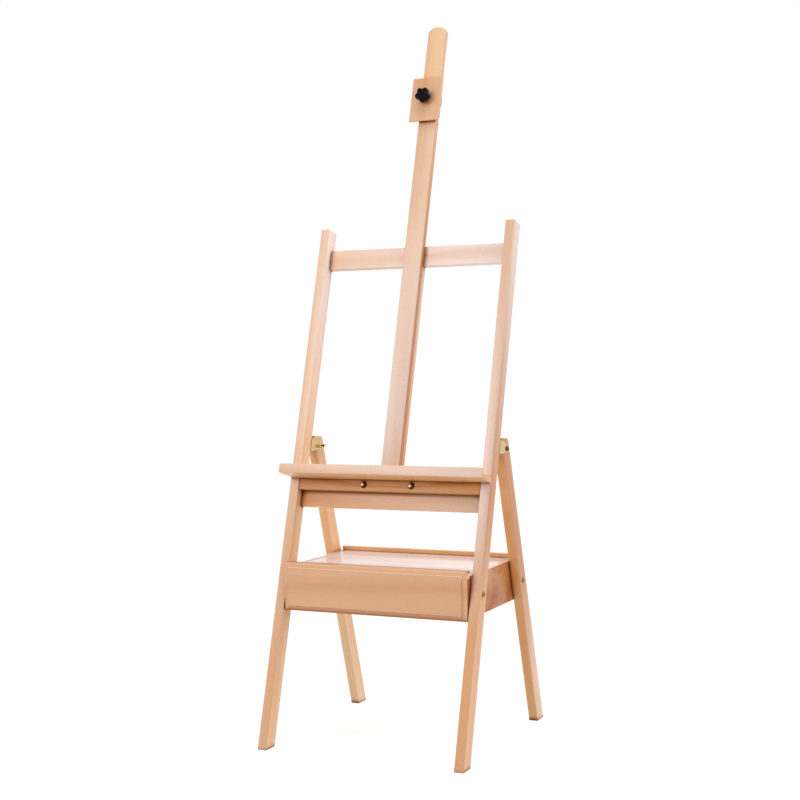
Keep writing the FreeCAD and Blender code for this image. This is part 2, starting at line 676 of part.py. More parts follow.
# The rear legs, each turning on a bolt through the two ears of a bracket behind its stile.
for side, name in sides:
    low, high = between(side, leg_in, leg_out)
    body = newBody(name + "_rear_leg", "leg")
    level_rise = "Sizes.leg_depth * tan(Sizes.leg_angle)"
    top_back = "(-Sizes.leg_top_drop - %s)" % level_rise
    leg = [
        (leg_front, minus(foot_front)),
        (leg_back, minus(foot_rear)),
        (leg_back, "%s - Sizes.leg_top_round" % top_back),
        ("%s - Sizes.leg_top_round * 0.2" % leg_back, "%s - Sizes.leg_top_round * 0.4" % top_back),
        ("%s - Sizes.leg_top_round * 0.6" % leg_back, "%s - Sizes.leg_top_round * 0.02" % top_back),
        (leg_front, "-Sizes.leg_top_drop"),
    ]
    add(body, "X", low, high, corners=leg)
    bores = [
        (leg_mid, "-Sizes.rear_bolt_drop", "Sizes.bolt_hole"),
        (leg_mid, "-Sizes.cross_bolt_drop", "Sizes.bolt_hole"),
    ]
    cut(body, "X", "%s - 1" % low, "%s + 1" % high, rings=bores)

    # The bracket: a base screwed to the stile's back and two ears that hold the leg between them.
    body = newBody(name + "_bracket", "frame")
    base_low = "(%s - Sizes.bracket_below)" % pivot_height
    base_high = "(%s + Sizes.bracket_above)" % pivot_height
    base_back = "(%s + Sizes.bracket_thick)" % stile_back
    low, high = between(side, bracket_in, bracket_out)
    add(body, "Y", stile_back, base_back, corners=rectangle(low, high, base_low, base_high))
    ear = [
        (stile_back, base_low),
        (pivot_depth, "%s - Sizes.ear_radius" % pivot_height),
        (pivot_depth, "%s + Sizes.ear_radius" % pivot_height),
        (stile_back, base_high),
    ]
    for near, far in ((bracket_in, ear_in), (ear_out, bracket_out)):
        start, end = between(side, near, far)
        add(body, "X", start, end, corners=ear)
        add(body, "X", start, end, rings=[(pivot_depth, pivot_height, "Sizes.ear_radius")])
    cut(body, "X", "%s - 1" % low, "%s + 1" % high, rings=[(pivot_depth, pivot_height, "Sizes.bolt_hole")])
    bores = [("%d * %s" % (side, screw_x), place, "Sizes.screw_hole") for place in screw_heights]
    cut(body, "Y", "%s - 1" % stile_back, "%s + 1" % base_back, rings=bores)
    screws(name + "_bracket_screws", "frame", base_back, -1, screw_heights)

    # Bolts: one through the stile into the box, one through the leg, and the one that the leg turns on.
    seat = "%d * %s" % (side, half_width)
    tip = "%d * (%s + 0.5)" % (side, case_in)
    domeBolt(name + "_front_bolt", "frame", "X", "0", "Sizes.front_bolt_depth", "Sizes.front_bolt_height",
             tip, seat, side, "Sizes.case_head")
    seat = "%d * %s" % (side, leg_out)
    tip = "%d * %s" % (side, leg_in)
    domeBolt(name + "_rear_bolt", "leg", "X", "0", leg_mid, "-Sizes.rear_bolt_drop",
             tip, seat, side, "Sizes.case_head")
    seat = "%d * %s" % (side, bracket_out)
    tip = "%d * (%s - Sizes.nut_length - 3)" % (side, bracket_in)
    domeBolt(name + "_cross_bolt", "frame", "X", "0", pivot_depth, pivot_height,
             tip, seat, side, "Sizes.case_head")
    wingNut(name + "_cross_wing_nut", "leg", "X", "0", leg_mid, "-Sizes.cross_bolt_drop",
            "%d * %s" % (side, bracket_in), -side)

# The drawer box, level between the stiles and the rear legs.
for side, name in sides:
    body = newBody("case_%s_side" % name, "level")
    low, high = between(side, case_in, case_out)
    panel = rectangle("Sizes.case_front", case_back, "Sizes.case_bottom", case_top)
    add(body, "X", low, high, corners=panel)
    bore = [(front_bolt_y, front_bolt_z, "Sizes.bolt_hole")]
    cut(body, "X", "%s - 1" % low, "%s + 1" % high, rings=bore)
body = newBody("case_top", "level")
lid = rectangle(minus(case_in), case_in, "Sizes.case_front", case_inner_back)
add(body, "Z", "%s - Sizes.case_top_thick" % case_top, case_top, corners=lid)
body = newBody("case_bottom", "level")
case_floor = rectangle(minus(case_in), case_in, "Sizes.case_front + 4", case_inner_back)
add(body, "Z", "Sizes.case_bottom + 4", floor_top, corners=case_floor)
body = newBody("case_back", "level")
rear_panel = rectangle(minus(case_in), case_in, "Sizes.case_bottom", case_top)
add(body, "Y", case_inner_back, case_back, corners=rear_panel)
body = newBody("gallery_strip", "level")
strip_half = "(%s - 1.5)" % case_out
strip = rectangle(minus(strip_half), strip_half, case_top, "%s + Sizes.gallery_height" % case_top)
add(body, "Y", "%s - Sizes.gallery_thick" % case_back, case_back, corners=strip)
for side, name in sides:
    body = newBody(name + "_drawer_runner", "level")
    low, high = between(side, "%s - Sizes.runner_proud" % case_in, case_in)
    runner_start = "Sizes.case_front + Sizes.runner_setback"
    runner = rectangle(runner_start, case_inner_back, runner_low, runner_high)
    add(body, "X", low, high, corners=runner)

# The drawer: a bevelled front, two grooved sides, a back and a thin bottom.
body = newBody("drawer_front", "level")
face_half = "(%s - Sizes.front_clearance)" % stile_in
face_top = "Sizes.drawer_front_bottom + Sizes.drawer_front_height"
face = rectangle(minus(face_half), face_half, "Sizes.drawer_front_bottom", face_top)
field_back = "%s + Sizes.bevel_depth" % face_front
add(body, "Y", field_back, face_back, corners=face)
slope = "-atan(Sizes.bevel_width / (Sizes.bevel_depth - Sizes.field_rise))"
add(body, "Y", "%s + Sizes.field_rise" % face_front, field_back, taper=slope, corners=face)
# The middle of the front stands a little proud of the bevel round it.
field_half = "(%s - Sizes.field_inset)" % face_half
field_low = "(Sizes.drawer_front_bottom + Sizes.field_inset)"
field_high = "(%s - Sizes.field_inset)" % face_top
field = rectangle(minus(field_half), field_half, field_low, field_high)
add(body, "Y", face_front, field_back, corners=field)
floor_end = "(%s + Sizes.floor_groove)" % drawer_in
slot = rectangle(minus(floor_end), floor_end, panel_low, panel_high)
cut(body, "Y", "%s - Sizes.floor_groove" % face_back, "%s + 1" % face_back, corners=slot)
for side, name in sides:
    body = newBody("drawer_%s_side" % name, "level")
    low, high = between(side, drawer_in, drawer_out)
    wall = rectangle(face_back, drawer_back, drawer_low, drawer_high)
    add(body, "X", low, high, corners=wall)
    low, high = between(side, "%s - Sizes.runner_proud" % drawer_out, "%s + 1" % drawer_out)
    track = rectangle(
        "Sizes.case_front + Sizes.runner_setback - 2",
        "%s + 1" % drawer_back,
        "%s - 0.5" % runner_low,
        "%s + 0.5" % runner_high,
    )
    cut(body, "X", low, high, corners=track)
    low, high = between(side, "%s - 1" % drawer_in, "%s + Sizes.floor_groove" % drawer_in)
    groove = rectangle("%s - 1" % face_back, "%s + 1" % drawer_back, panel_low, panel_high)
    cut(body, "X", low, high, corners=groove)
body = newBody("drawer_back", "level")
rear_wall = rectangle(minus(drawer_in), drawer_in, panel_high, drawer_high)
add(body, "Y", "%s - Sizes.drawer_wall" % drawer_back, drawer_back, corners=rear_wall)
body = newBody("drawer_bottom", "level")
panel = rectangle(
    "%s + 0.3" % minus(floor_end),
    "%s - 0.3" % floor_end,
    "%s - Sizes.floor_groove + 0.3" % face_back,
    "%s - 0.5" % drawer_back,
)
add(body, "Z", panel_low, panel_high, corners=panel)

doc.recompute()

problems = []
for thing in doc.Objects:
    if "Invalid" in thing.State or "Error" in thing.State:
        problems.append("%s is %s" % (thing.Label, ", ".join(thing.State)))
for thing in finished:
    if thing.Shape.isNull() or not thing.Shape.isValid() or thing.Shape.Volume <= 0:
        problems.append("%s has no valid solid" % thing.Label)
if problems:
    raise RuntimeError("; ".join(problems))

os.makedirs("parts", exist_ok=True)
for thing in finished:
    thing.Shape.exportStep(os.path.join("parts", thing.Label + ".step"))
print("%d sub-parts written" % len(finished))
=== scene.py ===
import bpy, bmesh, math, json
from mathutils import Matrix, Vector


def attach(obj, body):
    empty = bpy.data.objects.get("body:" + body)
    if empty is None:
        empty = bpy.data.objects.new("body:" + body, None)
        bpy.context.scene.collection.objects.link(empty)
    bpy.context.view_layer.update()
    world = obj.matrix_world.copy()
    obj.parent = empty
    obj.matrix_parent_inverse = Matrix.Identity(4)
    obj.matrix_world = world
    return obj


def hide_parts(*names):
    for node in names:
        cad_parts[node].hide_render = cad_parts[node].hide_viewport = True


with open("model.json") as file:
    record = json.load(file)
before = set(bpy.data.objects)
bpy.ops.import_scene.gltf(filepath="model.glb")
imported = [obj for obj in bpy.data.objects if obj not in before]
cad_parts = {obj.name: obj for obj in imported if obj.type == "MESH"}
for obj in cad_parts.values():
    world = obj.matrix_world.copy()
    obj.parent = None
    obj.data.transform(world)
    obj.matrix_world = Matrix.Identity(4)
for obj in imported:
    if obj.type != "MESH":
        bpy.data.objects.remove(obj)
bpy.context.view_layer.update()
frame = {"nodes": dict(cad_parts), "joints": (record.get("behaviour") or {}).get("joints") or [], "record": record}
nodes = frame["nodes"]
record = frame["record"]
joints = {joint["name"]: joint for joint in frame["joints"]}
bodyOf = {node: body for body, members in record["behaviour"]["bodies"].items() for node in members}
print("frame loaded:", len(nodes), "nodes")

# directions of the leaning frame, taken from its joints
alongFrame = Vector(joints["mast_slide"]["axis"]).normalized()   # up the mast
frameBack = Vector(joints["knob_turn"]["axis"]).normalized()     # square to the mast, to the back
lean = math.atan2(alongFrame.y, alongFrame.z)
right = Vector((1, 0, 0))
mm = 0.001


def hexToLinear(text, alpha=1.0):
    values = [int(text[i:i + 2], 16) / 255 for i in (1, 3, 5)]
    return [v / 12.92 if v <= 0.04045 else ((v + 0.055) / 1.055) ** 2.4 for v in values] + [alpha]


def addNode(tree, kind, settings=None, **inputs):
    # one node with its settings; an input is a value or another node's output
    node = tree.nodes.new("ShaderNode" + kind)
    for name, value in (settings or {}).items():
        setattr(node, name, value)
    for name, value in inputs.items():
        socket = node.inputs[int(name[1:])] if name[1:].isdigit() else node.inputs[name.replace("_", " ")]
        if isinstance(value, bpy.types.NodeSocket):
            tree.links.new(value, socket)
        else:
            socket.default_value = value
    return node


def newMaterial(name):
    material = bpy.data.materials.new(name)
    material.use_nodes = True
    material.node_tree.nodes.clear()
    return material, material.node_tree


def setRamp(node, stops):
    ramp = node.color_ramp
    while len(ramp.elements) > len(stops):
        ramp.elements.remove(ramp.elements[-1])
    while len(ramp.elements) < len(stops):
        ramp.elements.new(1.0)
    for element, (place, colour) in zip(ramp.elements, stops):
        element.position = place
        element.color = colour if not isinstance(colour, str) else hexToLinear(colour)


def onlySelect(obj):
    bpy.ops.object.select_all(action="DESELECT")
    obj.select_set(True)
    bpy.context.view_layer.objects.active = obj


def selectFaces(obj, test):
    # in edit mode, select just the faces that pass the test
    mesh = bmesh.from_edit_mesh(obj.data)
    mesh.select_mode = {"FACE"}
    for face in mesh.faces:
        face.select = bool(test(face))
    mesh.select_flush_mode()
    bmesh.update_edit_mesh(obj.data)


def settlePiece(obj, name, body, material, replaced=()):
    # the place goes into the mesh, then the piece gets its material and rides
    obj.name = name
    obj.data.name = name
    onlySelect(obj)
    bpy.ops.object.transform_apply(location=True, rotation=True, scale=True)
    obj.data.materials.clear()
    obj.data.materials.append(material)
    if replaced:
        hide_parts(*replaced)
    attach(obj, body)
    return obj


# beech: steamed European beech, planed and sanded, one thin coat of satin varnish:
# a pale pinkish tan with faint straight growth lines and short dark flecks along the grain
beechSettings = {
    # dark, middle and light growth, multiplied over the tone
    "figure": ("#ecd6c1", "#f9f1e8", "#ffffff"),
    "faces": [(0.0, "#f0d0b8")],   # tone of the wide faces at places along the board, in metres; its stops hold painted sheen and painted shade too
    "edges": None,                 # tone of the narrow faces and ends, where it differs; darker there as painted shade, paler near tops as painted sheen
    "under": None,                 # painted shade: a darker tone multiplied over what slopes downward, away from the light
    "blotch": None,                # a darker tone multiplied over soft patches
    "tonesAlong": "Z",
    "faceNormal": "Y",             # the wide faces look roughly along this axis
    "fleck": "#b07445",
    "endGrain": "#cf9a6c",
    "roughness": 0.42,
    "coat": 0.45,
    "coatRoughness": 0.24,
    "ringSpacing": 62.2,      # mm between soft bands across the grain; the real growth lines are a few mm
    "fleckLength": 5.0,       # mm, drawn longer than the real 2 mm so that it shows
    "fleckWidth": 0.7,        # mm
    "fleckDepth": 0.30,
    "corner": "#8c4308",      # painted shade in the inner corners and joints, where the parts around block the light
    "cornerReach": 16.0,      # mm
    "cornerDepth": 0.95,
}


def toneAlong(tree, place, tones):
    # one colour ramp over the length of a board
    start, end = tones[0][0], max(tones[-1][0], tones[0][0] + 0.01)
    share = addNode(tree, "MapRange", Value=place, From_Min=start, From_Max=end)
    ramp = addNode(tree, "ValToRGB", Fac=share.outputs[0])
    setRamp(ramp, [((at - start) / (end - start), colour) for at, colour in tones])
    return ramp.outputs["Color"]


def makeBeech(name, turn, spread, **changes):
    # turn puts the grain along local Z of the pattern, spread shifts it so pieces differ
    settings = dict(beechSettings, **changes)
    material, tree = newMaterial(name)
    coords = addNode(tree, "TexCoord")
    grain = addNode(tree, "Mapping", {"vector_type": "POINT"}, Vector=coords.outputs["Object"],
                    Rotation=turn, Location=spread)
    facing = addNode(tree, "Mapping", {"vector_type": "NORMAL"}, Vector=coords.outputs["Normal"],
                     Rotation=turn)
    facingParts = addNode(tree, "SeparateXYZ", Vector=facing.outputs["Vector"])
    endMask = addNode(tree, "Math", {"operation": "ABSOLUTE"}, _0=facingParts.outputs["Z"])
    endGrain = addNode(tree, "MapRange", {"interpolation_type": "SMOOTHSTEP"}, Value=endMask.outputs[0],
                       From_Min=0.75, From_Max=0.95, To_Max=0.45)

    # a slow drift of tone over the board
    drift = addNode(tree, "TexNoise", Vector=grain.outputs["Vector"], Scale=3.0, Detail=2.0, Roughness=0.5)
    # growth lines: long along Z, wandering a little
    ringPull = addNode(tree, "Mapping", {"vector_type": "POINT"}, Vector=grain.outputs["Vector"],
                       Scale=(1.0, 1.0, 0.035))
    ringWarp = addNode(tree, "TexNoise", Vector=ringPull.outputs["Vector"], Scale=26.0, Detail=3.0,
                       Roughness=0.6)
    # a diagonal wave of scale 1 turns 10 radians for each metre of x + y
    ringScale = 2 * math.pi / (10 * math.sqrt(2) * settings["ringSpacing"] * mm)
    ringWave = addNode(tree, "TexWave", {"wave_type": "BANDS", "bands_direction": "DIAGONAL"},
                       Vector=ringPull.outputs["Vector"], Scale=ringScale, Distortion=5.0, Detail=2.5,
                       Detail_Scale=1.4, Detail_Roughness=0.6)
    # fine fibres and the short flecks
    fibrePull = addNode(tree, "Mapping", {"vector_type": "POINT"}, Vector=grain.outputs["Vector"],
                        Scale=(1.0, 1.0, 0.03))
    fibre = addNode(tree, "TexNoise", Vector=fibrePull.outputs["Vector"], Scale=900.0, Detail=3.0,
                    Roughness=0.7)
    fleckPull = addNode(tree, "Mapping", {"vector_type": "POINT"}, Vector=grain.outputs["Vector"],
                        Scale=(1.0, 1.0, settings["fleckWidth"] / settings["fleckLength"]))
    # one fleck to a cell, and a cell is three flecks wide
    fleck = addNode(tree, "TexVoronoi", {"feature": "F1"}, Vector=fleckPull.outputs["Vector"],
                    Scale=1 / (3 * settings["fleckWidth"] * mm), Randomness=1.0)
    fleckMask = addNode(tree, "MapRange", {"interpolation_type": "SMOOTHSTEP"},
                        Value=fleck.outputs["Distance"], From_Min=0.10, From_Max=0.26,
                        To_Min=settings["fleckDepth"], To_Max=0.0)

    # growth lines, then fibres, then drift, each laid a little over the last
    ringed = addNode(tree, "Mix", {"data_type": "FLOAT"}, _0=0.42, _2=ringWave.outputs["Fac"],
                     _3=ringWarp.outputs["Fac"])
    fibred = addNode(tree, "Mix", {"data_type": "FLOAT"}, _0=0.35, _2=ringed.outputs[0],
                     _3=fibre.outputs["Fac"])
    drifted = addNode(tree, "Mix", {"data_type": "FLOAT"}, _0=0.18, _2=fibred.outputs[0],
                      _3=drift.outputs["Fac"])
    figure = addNode(tree, "ValToRGB", Fac=drifted.outputs[0])
    setRamp(figure, list(zip((0.22, 0.48, 0.78), settings["figure"])))

    # the board's tone, which changes slowly along it and from the wide faces to the narrow ones; these changes
    # hold painted sheen and painted shade besides the wood's own tone
    place = addNode(tree, "SeparateXYZ", Vector=coords.outputs["Object"])
    along = place.outputs[settings["tonesAlong"]]
    tone = toneAlong(tree, along, settings["faces"])
    normal = addNode(tree, "SeparateXYZ", Vector=coords.outputs["Normal"])
    # the narrow faces get their own tone, painted shade and painted sheen included
    if settings["edges"]:
        faceOn = addNode(tree, "Math", {"operation": "ABSOLUTE"}, _0=normal.outputs[settings["faceNormal"]])
        edgeMask = addNode(tree, "MapRange", {"interpolation_type": "SMOOTHSTEP"}, Value=faceOn.outputs[0],
                           From_Min=0.35, From_Max=0.85, To_Min=1.0, To_Max=0.0)
        edged = addNode(tree, "Mix", {"data_type": "RGBA"}, _0=edgeMask.outputs[0], _6=tone,
                        _7=toneAlong(tree, along, settings["edges"]))
        tone = edged.outputs[2]
    # painted shade: downward-sloping faces are multiplied darker
    if settings["under"]:
        underMask = addNode(tree, "MapRange", {"interpolation_type": "SMOOTHSTEP"},
                            Value=normal.outputs["Z"], From_Min=-0.35, From_Max=-0.1, To_Min=1.0, To_Max=0.0)
        shaded = addNode(tree, "Mix", {"data_type": "RGBA", "blend_type": "MULTIPLY"},
                         _0=underMask.outputs[0], _6=tone, _7=hexToLinear(settings["under"]))
        tone = shaded.outputs[2]
    if settings["blotch"]:
        patches = addNode(tree, "TexNoise", Vector=grain.outputs["Vector"], Scale=30.0, Detail=2.0)
        patchMask = addNode(tree, "MapRange", {"interpolation_type": "SMOOTHSTEP"},
                            Value=patches.outputs["Fac"], From_Min=0.40, From_Max=0.72)
        patched = addNode(tree, "Mix", {"data_type": "RGBA", "blend_type": "MULTIPLY"},
                          _0=patchMask.outputs[0], _6=tone, _7=hexToLinear(settings["blotch"]))
        tone = patched.outputs[2]
    body = addNode(tree, "Mix", {"data_type": "RGBA", "blend_type": "MULTIPLY"}, _0=1.0, _6=tone,
                   _7=figure.outputs["Color"])
    flecked = addNode(tree, "Mix", {"data_type": "RGBA"}, _0=fleckMask.outputs[0], _6=body.outputs[2],
                      _7=hexToLinear(settings["fleck"]))
    ended = addNode(tree, "Mix", {"data_type": "RGBA", "blend_type": "MULTIPLY"}, _0=endGrain.outputs[0],
                    _6=flecked.outputs[2], _7=hexToLinear(settings["endGrain"]))

    # painted shade: ambient occlusion darkens the inner corners and joints
    openness = addNode(tree, "AmbientOcclusion", {"samples": 8}, Distance=settings["cornerReach"] * mm)
    cornerMask = addNode(tree, "MapRange", {"interpolation_type": "SMOOTHSTEP"}, Value=openness.outputs["AO"],
                         From_Min=0.30, From_Max=0.85, To_Min=settings["cornerDepth"], To_Max=0.0)
    cornerShadePainted = addNode(tree, "Mix", {"data_type": "RGBA", "blend_type": "MULTIPLY"}, _0=cornerMask.outputs[0],
                       _6=ended.outputs[2], _7=hexToLinear(settings["corner"]))

    rough = addNode(tree, "MapRange", Value=fibre.outputs["Fac"], From_Min=0.3, From_Max=0.7,
                    To_Min=settings["roughness"] - 0.05, To_Max=settings["roughness"] + 0.07)
    relief = addNode(tree, "Math", {"operation": "SUBTRACT"}, _0=fibre.outputs["Fac"],
                     _1=fleckMask.outputs[0])
    bump = addNode(tree, "Bump", Height=relief.outputs[0], Strength=0.25, Distance=0.00025)
    # the painted corner shade takes away the sheen there too
    gloss = addNode(tree, "Math", {"operation": "SUBTRACT", "use_clamp": True}, _0=1.0,
                    _1=cornerMask.outputs[0])
    coatWeight = addNode(tree, "Math", {"operation": "MULTIPLY"}, _0=gloss.outputs[0], _1=settings["coat"])
    specular = addNode(tree, "Math", {"operation": "MULTIPLY"}, _0=gloss.outputs[0], _1=0.5)
    shader = addNode(tree, "BsdfPrincipled", Base_Color=cornerShadePainted.outputs[2], Roughness=rough.outputs[0],
                     Normal=bump.outputs["Normal"], IOR=1.5, Specular_IOR_Level=specular.outputs[0],
                     Coat_Weight=coatWeight.outputs[0], Coat_Roughness=settings["coatRoughness"])
    addNode(tree, "OutputMaterial", Surface=shader.outputs[0])
    return material


# which way the grain runs: up the leaning frame, across it, up the rear legs, or front to back
quarter = math.pi / 2
legTilt = math.radians(17.1)
upward, across, rearward, depthwise = (lean, 0, 0), (0, quarter, 0), (-legTilt, 0, 0), (quarter, 0, 0)

# the tones used along the boards, palest first; boards are named by them. The stops carry the wood's tone together
# with painted sheen and painted shade
beechTones = {
    "chalk": "#fff0f0", "blush": "#f0dcd8", "shell": "#f0d0b8", "wheat": "#f8d0a8", "straw": "#f8c890",
    "tan": "#e8b890", "honey": "#e8b080", "amber": "#c88850", "toffee": "#b87838",
}


def shades(*stops):
    return [(place, beechTones[tone]) for place, tone in stops]


# stiles, mast and post: fronts are paler and pinker where painted sheen lies, most at middle height; narrow sides
# are darker as painted shade, the mast's darkest where the crossbar stands behind it, and paler near the tops as
# painted sheen
beechLeft = makeBeech("beechLeftStile", upward, (0.31, 0.17, 0.05),
                      faces=shades((0.2, "tan"), (0.7, "shell"), (1.2, "shell")),
                      edges=shades((0.2, "wheat"), (0.7, "wheat"), (1.1, "chalk")))
beechRight = makeBeech("beechRightStile", upward, (0.52, 0.34, 0.22),
                       faces=shades((0.3, "honey"), (0.6, "blush"), (1.2, "shell")),
                       edges=shades((0.3, "tan"), (0.6, "amber"), (1.2, "blush")))
beechMast = makeBeech("beechMast", upward, (0.90, 0.43, 0.65),
                      faces=shades((0.8, "blush"), (1.3, "shell"), (1.6, "wheat")),
                      edges=shades((1.2, "amber"), (1.6, "tan")))
beechPost = makeBeech("beechCentrePost", upward, (0.11, 0.62, 0.28),
                      faces=shades((0.7, "shell")), edges=shades((0.7, "honey"), (1.1, "shell")))
beechBlock = makeBeech("beechClampBlock", upward, (0.44, 0.13, 0.35), faces=shades((1.5, "tan")))
# the crossbar, rail and lip are paler and pinker towards the right as painted sheen
beechCrossbar = makeBeech("beechCrossbar", across, (0.12, 0.55, 0.27), tonesAlong="X",
                          faces=shades((-0.2, "shell"), (0.2, "chalk")))
beechRail = makeBeech("beechLowerRail", across, (0.62, 0.25, 0.77), tonesAlong="X",
                      faces=shades((-0.2, "honey"), (0.2, "shell")))
beechLip = makeBeech("beechLedgeLip", across, (0.82, 0.15, 0.57), tonesAlong="X",
                     faces=shades((-0.2, "shell"), (0.2, "blush")))
beechLedge = makeBeech("beechLedgeFloor", across, (0.42, 0.75, 0.17), tonesAlong="X",
                       faces=shades((0.0, "straw")))
beechAcross = makeBeech("beechAcross", across, (0.12, 0.35, 0.67), tonesAlong="X",
                        faces=shades((0.0, "shell")))
beechGallery = makeBeech("beechGallery", across, (0.32, 0.65, 0.97), tonesAlong="X",
                         faces=shades((0.0, "straw")), cornerDepth=0.2)
# rear legs: the right leg's sides darken upwards, under the box, as painted shade
beechLeftLeg = makeBeech("beechLeftRearLeg", rearward, (0.66, 0.02, 0.81),
                         faces=shades((0.1, "wheat"), (0.4, "straw")), edges=shades((0.4, "wheat")))
beechRightLeg = makeBeech("beechRightRearLeg", rearward, (0.16, 0.42, 0.31),
                          faces=shades((0.4, "straw")), edges=shades((0.1, "shell"), (0.4, "amber")))
beechDepth = makeBeech("beechDrawerSides", depthwise, (0.25, 0.36, 0.74))
# drawer front: a pale band where the field's top step faces up is painted highlight; its ends, lower steps,
# downward slopes and top face are darker as painted shade
beechDrawer = makeBeech("beechDrawerFront", across, (0.72, 0.21, 0.47), faces=shades((0.3, "tan")),
                        edges=shades((0.41, "toffee"), (0.414, "chalk"), (0.422, "chalk"), (0.426, "toffee")),
                        under=beechTones["amber"], cornerDepth=0.5)
# the box top's near-white tone is painted sheen, the grazing reflection of the pale room taken into its colour
beechTop = makeBeech("beechBoxTop", across, (0.18, 0.64, 0.09), tonesAlong="X",
                     faces=shades((0.0, "chalk")), roughness=0.36, coat=0.6, cornerDepth=0.2)
# the apron and the box's sides take a darker, redder tone: on the apron this is painted shade under the ledge, on
# the box's sides painted shade over a deeper wood tone
beechApron = makeBeech("beechApron", across, (0.36, 0.31, 0.53), tonesAlong="X",
                       faces=[(0.0, "#d8a060")], fleck="#905830")
beechSidesDeepAndShaded = makeBeech("beechSidesToneAndShade", depthwise, (0.55, 0.16, 0.44), tonesAlong="Y", faceNormal="X",
                       faces=shades((-0.1, "amber"), (0.1, "toffee")),
                       # the sides' front ends are painted shade beside the drawer, their top edges paler as
                       # painted sheen
                       edges=shades((-0.153, "toffee"), (-0.150, "chalk")),
                       blotch="#e0b070", fleck="#905830")

# birch plywood: rotary-cut face, sanded and left matt, a pale cream with broad soft figure
birchPly = makeBeech("birchPlywood", across, (0.5, 0.2, 0.9), tonesAlong="X", faces=[(0.0, "#ecd3b0")],
                     fleck="#c39d6f", endGrain="#c9a77a", roughness=0.6, coat=0.0,
                     ringSpacing=160.0, fleckLength=6.0, fleckWidth=0.8)


def makeMetal(name, colour, dull, roughness, grit, paintedHighlight=None):
    # a plated metal: even colour, faint cloudy wear in its roughness, grit in mm; the optional painted highlight
    # is a bright colour painted where the surface faces one given way
    material, tree = newMaterial(name)
    coords = addNode(tree, "TexCoord")
    cloud = addNode(tree, "TexNoise", Vector=coords.outputs["Object"], Scale=1 / (grit * mm), Detail=4.0,
                    Roughness=0.6)
    tint = addNode(tree, "Mix", {"data_type": "RGBA"}, _0=cloud.outputs["Fac"], _6=hexToLinear(colour),
                   _7=hexToLinear(dull))
    colourOut = tint.outputs[2]
    # painted highlight: a bright colour where the surface faces the given way
    if paintedHighlight:
        outward, bright = paintedHighlight
        facing = addNode(tree, "VectorMath", {"operation": "DOT_PRODUCT"}, _0=coords.outputs["Normal"],
                         _1=outward)
        paintedHighlightMask = addNode(tree, "MapRange", {"interpolation_type": "SMOOTHSTEP"},
                         Value=facing.outputs["Value"], From_Min=0.94, From_Max=1.0)
        highlightPainted = addNode(tree, "Mix", {"data_type": "RGBA"}, _0=paintedHighlightMask.outputs[0], _6=colourOut,
                          _7=hexToLinear(bright))
        colourOut = highlightPainted.outputs[2]
    rough = addNode(tree, "MapRange", Value=cloud.outputs["Fac"], From_Min=0.3, From_Max=0.7,
                    To_Min=roughness - 0.06, To_Max=roughness + 0.08)
    bump = addNode(tree, "Bump", Height=cloud.outputs["Fac"], Strength=0.08, Distance=0.0001)
    shader = addNode(tree, "BsdfPrincipled", Base_Color=colourOut, Metallic=1.0, Roughness=rough.outputs[0],
                     Normal=bump.outputs["Normal"])
    addNode(tree, "OutputMaterial", Surface=shader.outputs[0])
    return material


# bright plated steel, rolled: a pale yellow sheen
brassPlate = makeMetal("brassPlatedSteel", "#dcc693", "#bfa26c", 0.26, 6.0)
# pressed brass, a little tarnished: a deeper, browner yellow
brassDome = makeMetal("brassBoltHead", "#a5864d", "#6e5426", 0.22, 4.0)
# dark bronzed and polished, with a painted highlight: a near-white spot where the dome faces out and a little to
# the left and up
paintedHighlightWay = (-frameBack * 0.96 + Vector((-0.28, 0, 0.05))).normalized()
bronzeDome = makeMetal("bronzedBoltHead", "#6a2c16", "#4a1a0c", 0.16, 4.0, (paintedHighlightWay, "#fbe9e2"))
# brass gone brown with handling, on the two bolts that the legs turn on
agedBrass = makeMetal("agedBrassBolt", "#6b4a22", "#3f2710", 0.24, 4.0)
# zinc plated steel, a cool pale grey, on the knob's stud
zincSteel = makeMetal("zincPlatedSteel", "#b9bbbe", "#989a9e", 0.30, 5.0)

# black ABS: injection moulded and glossy, very slightly uneven
blackPlastic, tree = newMaterial("glossyBlackAbs")
coords = addNode(tree, "TexCoord")
mould = addNode(tree, "TexNoise", Vector=coords.outputs["Object"], Scale=140.0, Detail=3.0, Roughness=0.5)
rough = addNode(tree, "MapRange", Value=mould.outputs["Fac"], From_Min=0.3, From_Max=0.7,
                To_Min=0.10, To_Max=0.16)
tone = addNode(tree, "Mix", {"data_type": "RGBA"}, _0=mould.outputs["Fac"], _6=hexToLinear("#060408"),
               _7=hexToLinear("#0b0a18"))
bump = addNode(tree, "Bump", Height=mould.outputs["Fac"], Strength=0.05, Distance=0.0002)
shader = addNode(tree, "BsdfPrincipled", Base_Color=tone.outputs[2], Roughness=rough.outputs[0],
                 Normal=bump.outputs["Normal"], IOR=1.54, Specular_IOR_Level=0.08)
addNode(tree, "OutputMaterial", Surface=shader.outputs[0])
print("materials made")

